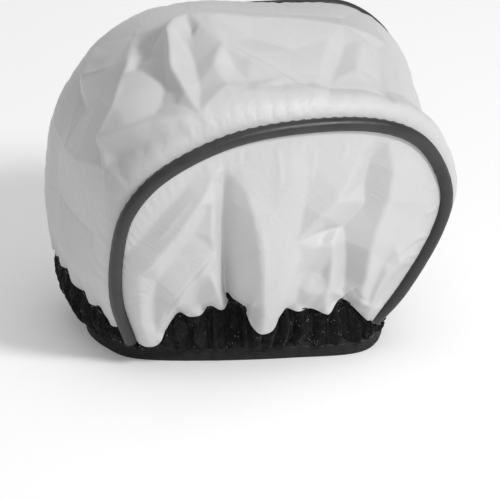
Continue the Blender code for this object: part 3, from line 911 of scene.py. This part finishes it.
front_points = front_panel_points(360, 150)
crown_grid = crown_points(420, 130)
rear_points = rear_panel_points(220, 90)
front_panel = grid_object("front_panel_cloth", front_points, NYLON, flip=True)
crown = grid_object("crown_strip_cloth", crown_grid, NYLON)
rear_panel = grid_object("rear_panel_cloth", rear_points, NYLON)
for piece, points, hem_reach in ((front_panel, front_points, 0.10), (rear_panel, rear_points, 0.10),
                                 (crown, crown_grid, 0.05)):
    settle(piece, held_edges(*points.shape[:2], hem_reach))
    thicken(piece, NYLON_THICKNESS)


# ---------- piping

STRANDS, STRAND_RADIUS, STRAND_LAY = 3, 0.00047, 0.006
TAPE_NEAR, TAPE_WIDTH = 0.0023, 0.0046      # the tape's nearer edge from the seam, and its width


def sleeve_piece(hoop, side, body, rng, share):
    """The vinyl sleeve: a slightly oval tube with small squeezes along it."""
    sides = 20
    centre, out, outside, _ = hoop.frame(share)
    angle = np.linspace(0, 2 * math.pi, sides, endpoint=False)
    squeeze = ripples(rng, 9, 18, 60)(share)[:, None] * 0.012
    oval = 1 + 0.03 * np.cos(2 * angle)[None]
    points = tube_points(centre, out, outside, PIPING_RADIUS * (1 + squeeze) * oval, sides)
    weave = np.stack(np.broadcast_arrays((share * hoop.path.lengths[-1])[:, None],
                                         (angle * PIPING_RADIUS)[None]), -1)
    sleeve = mesh_object(f"{side}_piping_vinyl", points, tube_faces(len(share), sides), VINYL, weave)
    finish_piece(sleeve, f"{side}_piping_sleeve", body)


def filler_piece(hoop, side, body, share):
    """The three-strand filler cord, which shows at the open feet of the sleeve."""
    sides = 6
    centre, out, outside, ahead = hoop.frame(share)
    length = hoop.path.lengths[-1]
    reach = np.linspace(-0.0035, 1.0035, len(share))
    ends = (reach - share)[:, None] * ahead * length
    verts, faces = [], []
    for strand in range(STRANDS):
        phase = (2 * math.pi * length / STRAND_LAY * share + strand * 2 * math.pi / STRANDS)[:, None]
        offset = (out * np.cos(phase) + outside * np.sin(phase)) * 0.00048
        faces += tube_faces(len(share), sides, len(verts) * len(share) * sides)
        verts.append(tube_points(centre + offset + ends, out, outside, STRAND_RADIUS, sides))
    cord = mesh_object(f"{side}_filler_strands", np.array(verts), faces, FILLER)
    finish_piece(cord, f"{side}_piping_cord", body)


def tape_piece(hoop, side, body, rng):
    """Woven tape over the raw edges inside the bag."""
    share = np.linspace(0.035, 0.965, 260)
    across = np.linspace(0, 1, 9)
    wave = ripples(rng, 6, 10, 30)(share)[:, None]
    inward = -(TAPE_NEAR + TAPE_WIDTH * across[None])
    depth = -0.0026 - 0.0004 * np.sin(math.pi * across)[None] + 0.00022 * wave * across[None]
    centre, out, outside, _ = hoop.frame(share)
    points = (centre[:, None] + out[:, None] * inward[..., None]
              + outside[:, None] * depth[..., None])
    tape = grid_object(f"{side}_binding_tape", points, TAPE)
    thicken(tape, TAPE_THICKNESS)
    finish_piece(tape, f"{side}_seam_binding", body)


def seam_pieces(hoop, side, body):
    """The stitches along the outer edge of the sleeve, and the inner row through the tape."""
    pitch = 0.0030
    rows = np.linspace(0.03, 0.97, int(hoop.path.lengths[-1] * 0.94 / pitch))
    point, out, outside, _ = hoop.frame(rows)
    line = point + out * (0.77 * PIPING_RADIUS) - outside * (0.66 * PIPING_RADIUS)
    up = unit(out * 0.8 - outside * 0.35)
    seam = stitches_object(f"{side}_seam_stitches", line, up, 0.0019, 0.00016, BLACK_THREAD)
    finish_piece(seam, f"{side}_seam_thread", body)
    inner = hoop.at(rows, -0.0034, -0.00305)
    through = stitches_object(f"{side}_tape_stitches", inner, -outside, 0.0021, 0.0002, WHITE_THREAD)
    finish_piece(through, body=body)


PIPING_SHARE = np.linspace(0, 1, 420)
for hoop, side, body, seed in ((FRONT, "front", "front_frame", 7), (REAR, "rear", "rear_frame", 8)):
    rng = np.random.default_rng(seed)
    sleeve_piece(hoop, side, body, rng, PIPING_SHARE)
    filler_piece(hoop, side, body, PIPING_SHARE)
    tape_piece(hoop, side, body, rng)
    seam_pieces(hoop, side, body)


# ---------- collar and band

def outline_by_bearing(ring, bearings):
    """Points of a closed path that lie in the given directions from the mouth's centre."""
    dense = ring(np.linspace(0, 1, 2400, endpoint=False))
    angle = np.unwrap(np.arctan2(dense[:, 1], dense[:, 0]))
    if angle[-1] < angle[0]:
        dense, angle = dense[::-1], angle[::-1]
    order = np.concatenate([angle - 2 * math.pi, angle, angle + 2 * math.pi])
    triple = np.vstack([dense] * 3)
    bearings = (bearings - angle[0]) % (2 * math.pi) + angle[0]
    return np.stack([np.interp(bearings, order, triple[:, k]) for k in range(3)], -1)


# The lower edge of the white cloth all the way round: front, right side, rear, left side
hem_ring = np.vstack([front_points[::4, 0], crown_grid[-1, 6:-6:4], rear_points[::-4, 0],
                      crown_grid[0, -6:6:-4]])
HEM = Path(hem_ring, closed=True, steps=3)
collar_share = np.linspace(0, 1, 1150, endpoint=False)
hem_points = HEM(collar_share)


def smooth_ring(values, width):
    """Blur of values round a closed ring."""
    kernel = np.exp(-0.5 * (np.arange(-3 * width, 3 * width + 1) / width) ** 2)
    kernel /= kernel.sum()
    wide = np.concatenate([values[-3 * width:], values, values[:3 * width]])
    return np.stack([np.convolve(wide[:, k], kernel, "valid") for k in range(values.shape[1])], -1)


def bump_at(bearings, middle, width):
    """1 at one bearing from the mouth's centre, in radians, easing to 0 round it."""
    return np.exp(-((bearings - middle) / width) ** 2)[:, None]


def collar_points(rows):
    """The knit collar, gathered between the elastic and the white hem, with its knit loops."""
    rng = np.random.default_rng(3)
    u = collar_share
    v = np.linspace(0, 1, rows)
    top = smooth_ring(hem_points, 14)
    band = outline_by_bearing(BAND, np.unwrap(np.arctan2(top[:, 1], top[:, 0])))
    inward = unit(np.concatenate([-top[:, :2], np.zeros((len(top), 1))], 1))
    top = top + inward * 0.0012 + np.array([0, 0, 0.0040])
    low = band.copy()
    low[:, 2] = BAND_HEIGHT - 0.0006
    low -= inward * 0.0004
    side = np.sin(math.pi / 2 * v)[None, :, None]
    points = low[:, None] * (1 - side) + top[:, None] * side
    points[..., 2] = low[:, None, 2] * (1 - v[None]) + top[:, None, 2] * v[None]
    # ruffles: narrow uneven pleats, deepest at mid height, whose rounded ends hang on the band
    pleat = ripples(rng, 9, 36, 58)(u)
    pleat = np.sign(pleat) * np.abs(pleat) ** 0.75
    fine = ripples(rng, 8, 90, 150)(u)
    shape = (np.exp(-((v - 0.34) / 0.32) ** 2) + 0.35)[None]
    lump = gauss(rng.normal(0, 1, points.shape[:2]), (5.0, 2.2)) * 9
    push = (0.0010 * pleat[:, None] * shape + 0.00045 * fine[:, None] * shape
            + 0.0012 * np.exp(-((v - 0.22) / 0.26) ** 2)[None] + 0.00045 * lump)
    bearings = np.arctan2(top[:, 1], top[:, 0])
    # it bulges on the left, and reaches out to the rear piping's right foot
    push = (push + 0.0030 * bump_at(np.abs(bearings), 2.85, 0.45)
            * np.sin(math.pi * np.clip(v * 1.05, 0, 1))[None])
    push = push + 0.0026 * bump_at(bearings, 0.48, 0.22) * smooth_step((v - 0.25) / 0.5)[None]
    droop = 0.0009 * (0.5 + 0.5 * pleat[:, None]) * np.exp(-(v / 0.22) ** 2)[None]
    points = points - inward[:, None] * push[..., None]
    points[..., 2] -= droop
    # knit loops
    around, up = np.meshgrid(np.arange(len(u)), np.arange(rows), indexing="ij")
    loops = np.sin(around * 2 * math.pi / 4.0 + (up % 2) * math.pi) * np.cos(up * math.pi * 0.9)
    grit = gauss(rng.uniform(-1, 1, points.shape[:2]), 0.7) * 2.2
    points = points - inward[:, None] * (0.00016 * loops + 0.00022 * grit)[..., None]
    return points


collar_grid = collar_points(34)
collar = grid_object("collar_ruffle_knit", collar_grid, KNIT, closed=True)
thicken(collar, KNIT_THICKNESS)


def band_points():
    """The elastic's section goes round the ring: ribbed outside, plain inside, flat below."""
    ribs, half = 7, BAND_THICKNESS / 2
    z_out = np.linspace(0.0, BAND_HEIGHT, ribs * 6 + 1)
    rib = 0.00011 * np.cos(2 * math.pi * ribs * z_out / BAND_HEIGHT + math.pi)
    edge = smooth_step(np.minimum(z_out, BAND_HEIGHT - z_out) / 0.0005)
    outer = np.stack([half - 0.00025 * (1 - edge) + rib * edge, z_out], -1)
    z_in = np.linspace(BAND_HEIGHT, 0.0, 9)
    inner = np.stack([np.full(9, -half), z_in], -1)
    inner[[0, -1], 0] += 0.0002
    section = np.vstack([outer, inner])
    u = np.linspace(0, 1, 900, endpoint=False)
    centre = BAND(u)
    ahead = unit(BAND(u + 0.002) - BAND(u - 0.002))
    out = np.stack([ahead[:, 1], -ahead[:, 0], 0 * u], -1)
    rng = np.random.default_rng(9)
    wave = 0.00016 * ripples(rng, 8, 30, 60)(u)
    reach = section[None, :, 0] + wave[:, None] * np.sin(math.pi * section[:, 1] / BAND_HEIGHT)[None]
    points = centre[:, None] + out[:, None] * reach[..., None]
    points[..., 2] = section[:, 1]
    length = BAND.lengths[-1]
    run = np.concatenate([[0], np.cumsum(np.linalg.norm(np.diff(section, axis=0), axis=1))])
    weave = np.stack(np.broadcast_arrays((u * length)[:, None], run[None]), -1)
    return points, weave


band_grid, band_weave = band_points()
faces = grid_faces(band_grid.shape[0], band_grid.shape[1], wrap_rows=True, wrap_columns=True)
band = mesh_object("ribbed_elastic_band", band_grid, faces, ELASTIC, band_weave)


def ring_stitches(name, ring, ups, spacing, length, radius):
    """Stitches at an even spacing round a closed ring of points."""
    gaps = np.linalg.norm(np.diff(np.vstack([ring, ring[:1]]), axis=0), axis=1)
    total = gaps.sum()
    run = np.concatenate([[0], np.cumsum(gaps)])
    at = np.arange(int(total / spacing)) * total / int(total / spacing)
    closed = np.vstack([ring, ring[:1]])
    closed_up = np.vstack([ups, ups[:1]])
    points = np.stack([np.interp(at, run, closed[:, k]) for k in range(3)], -1)
    up = unit(np.stack([np.interp(at, run, closed_up[:, k]) for k in range(3)], -1))
    return stitches_object(name, points, up, length, radius, BLACK_THREAD)


row = int(0.80 * (collar_grid.shape[1] - 1))
tangent = unit(np.roll(collar_grid[:, row], -3, 0) - np.roll(collar_grid[:, row], 3, 0))
outwards = np.stack([tangent[:, 1], -tangent[:, 0], 0 * tangent[:, 0]], -1)
hem_stitches = ring_stitches("hem_stitches", collar_grid[:, row] + outwards * 0.0004, outwards,
                             0.0031, 0.0022, 0.00022)
band_ring = BAND(np.linspace(0, 1, 600, endpoint=False))
ahead = unit(np.roll(band_ring, -2, 0) - np.roll(band_ring, 2, 0))
band_out = np.stack([ahead[:, 1], -ahead[:, 0], 0 * ahead[:, 0]], -1)
band_stitches = ring_stitches(
    "band_stitches", band_ring + band_out * (BAND_THICKNESS / 2 + 0.0001)
    + np.array([0, 0, BAND_HEIGHT * 0.72]), band_out, 0.0034, 0.0024, 0.00018)


# ---------- bodies and sheets

finish_piece(front_panel, "front_panel", "front_frame")
finish_piece(rear_panel, "rear_panel", "rear_frame")
for piece, slot, node in ((crown, "white_nylon", "crown_strip"),
                          (collar, "black_knit", "collar_knit"),
                          (band, "black_elastic", "elastic_band"),
                          (hem_stitches, "sewing_thread", "hem_thread"),
                          (band_stitches, "sewing_thread", "band_thread")):
    finish_piece(piece, node)
    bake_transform(piece)


# ---------- stage, lights and camera

FLOOR_HALF = 3.0
LIGHT_TARGET = Vector((0, 0, 0.04))


def softbox(name, place, size, power):
    """A square area light, aimed at the object; size in metres, power in watts."""
    light = bpy.data.lights.new(name, "AREA")
    light.shape = "RECTANGLE"
    light.size = light.size_y = size
    light.energy = power
    obj = bpy.data.objects.new(name, light)
    obj.location = place
    obj.rotation_euler = (LIGHT_TARGET - Vector(place)).to_track_quat("-Z", "Y").to_euler()
    bpy.context.scene.collection.objects.link(obj)


floor_corners = [(x * FLOOR_HALF, y * FLOOR_HALF, 0) for x, y in ((-1, -1), (1, -1), (1, 1), (-1, 1))]
mesh_object("studio_floor", floor_corners, [[0, 1, 2, 3]], studio_floor())
softbox("key_softbox", (0.70, -0.80, 0.92), 0.28, 12.0)
softbox("top_softbox", (0.0, 0.1, 1.3), 1.0, 2.5)
world = bpy.data.worlds.new("studio")
world.use_nodes = True
world.node_tree.nodes["Background"].inputs["Color"].default_value = (1, 1, 1, 1)
world.node_tree.nodes["Background"].inputs["Strength"].default_value = 0.40
bpy.context.scene.world = world
bpy.context.scene.view_settings.view_transform = "Standard"

AZIMUTH, ELEVATION, DISTANCE = math.radians(-12), math.radians(27), 0.9
TARGET = Vector((0.00112, 0.00048, 0.023))
camera_data = bpy.data.cameras.new("camera")
camera_data.sensor_width = 36
camera_data.lens = 223.56
camera_data.clip_start, camera_data.clip_end = 0.01, 50
camera = bpy.data.objects.new("camera", camera_data)
camera.location = TARGET + DISTANCE * Vector((
    math.sin(AZIMUTH) * math.cos(ELEVATION), -math.cos(AZIMUTH) * math.cos(ELEVATION),
    math.sin(ELEVATION)))
camera.rotation_euler = (TARGET - camera.location).to_track_quat("-Z", "Y").to_euler()
bpy.context.scene.collection.objects.link(camera)
bpy.context.scene.camera = camera
